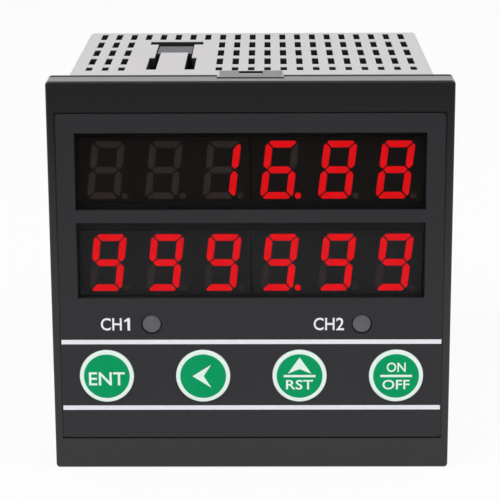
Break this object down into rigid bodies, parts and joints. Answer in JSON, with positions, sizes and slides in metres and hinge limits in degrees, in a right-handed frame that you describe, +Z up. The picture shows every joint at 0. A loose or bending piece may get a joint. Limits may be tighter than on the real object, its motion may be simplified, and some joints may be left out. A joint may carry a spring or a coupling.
{
  "type": "digital counter",
  "caption": "Square panel-mounted digital counter with two rows of red segment digits, alarm lamps and round press keys, in a vented box case with screw terminals behind.",
  "frame": {"origin": "under the middle of the counter, on the surface that its bezel stands on", "axes": "+Z up, the front looks along -Y, +X to the right as seen from the front"},
  "size_m": [0.076, 0.0822, 0.076],
  "materials": {
    "case_grey": "fine moulded texture",
    "bezel_dark": "fine moulded texture",
    "film_dark": "printed matt film",
    "window_dark": "dark red filter",
    "display_black": "matt black face",
    "segment_lit": "glowing red",
    "segment_dark": "unlit, dull",
    "lamp_grey": "unlit, diffused",
    "key_green": "printed green with a white ring",
    "switch_black": "moulded",
    "stem_ivory": "moulded",
    "steel": "nickel plated",
    "brass": "tinned brass",
    "board_green": "solder resist",
    "header_black": "moulded",
    "core_steel": "laminated, varnished",
    "bobbin_white": "moulded",
    "winding_tape": "yellow insulating tape",
    "relay_blue": "moulded",
    "capacitor_black": "sleeved can",
    "aluminium": "bent sheet",
    "chip_black": "moulded",
    "cover_dark": "moulded",
    "terminal_dark": "moulded"
  },
  "bodies": {
    "housing": {"front_bezel": "bezel_dark", "overlay_film": "film_dark", "upper_window_pane": "window_dark", "lower_window_pane": "window_dark", "upper_left_display": "display_black", "upper_right_display": "display_black", "lower_left_display": "display_black", "lower_right_display": "display_black", "lit_segments": "segment_lit", "dark_segments": "segment_dark", "left_alarm_lamp": "lamp_grey", "right_alarm_lamp": "lamp_grey", "key_switch_bodies": "switch_black", "key_switch_covers": "steel", "case_shell": "case_grey", "display_board": "board_green", "display_board_screws": "steel", "power_board": "board_green", "main_board": "board_green", "rear_board": "board_green", "board_headers": "header_black", "transformer_core": "core_steel", "transformer_bobbin": "bobbin_white", "transformer_winding": "winding_tape", "alarm_relays": "relay_blue", "filter_capacitors": "capacitor_black", "heat_sink": "aluminium", "voltage_regulator": "chip_black", "microcontroller": "chip_black", "crystal": "steel", "rear_cover": "cover_dark", "rear_cover_screws": "steel", "upper_terminal_block": "terminal_dark", "lower_terminal_block": "terminal_dark", "terminal_clamps": "steel", "terminal_screws": "steel", "terminal_pins": "brass"},
    "set_button": {"set_key": "key_green", "set_switch_stem": "stem_ivory"},
    "shift_button": {"shift_key": "key_green", "shift_switch_stem": "stem_ivory"},
    "up_button": {"up_key": "key_green", "up_switch_stem": "stem_ivory"},
    "reset_button": {"reset_key": "key_green", "reset_switch_stem": "stem_ivory"}
  },
  "joints": [
    {"name": "set_press", "type": "slide", "parent": "housing", "child": "set_button", "axis": [0, 1, 0], "range_m": [0, 0.0003], "stiffness_N_per_m": 2000},
    {"name": "shift_press", "type": "slide", "parent": "housing", "child": "shift_button", "axis": [0, 1, 0], "range_m": [0, 0.0003], "stiffness_N_per_m": 2000},
    {"name": "up_press", "type": "slide", "parent": "housing", "child": "up_button", "axis": [0, 1, 0], "range_m": [0, 0.0003], "stiffness_N_per_m": 2000},
    {"name": "reset_press", "type": "slide", "parent": "housing", "child": "reset_button", "axis": [0, 1, 0], "range_m": [0, 0.0003], "stiffness_N_per_m": 2000}
  ]
}
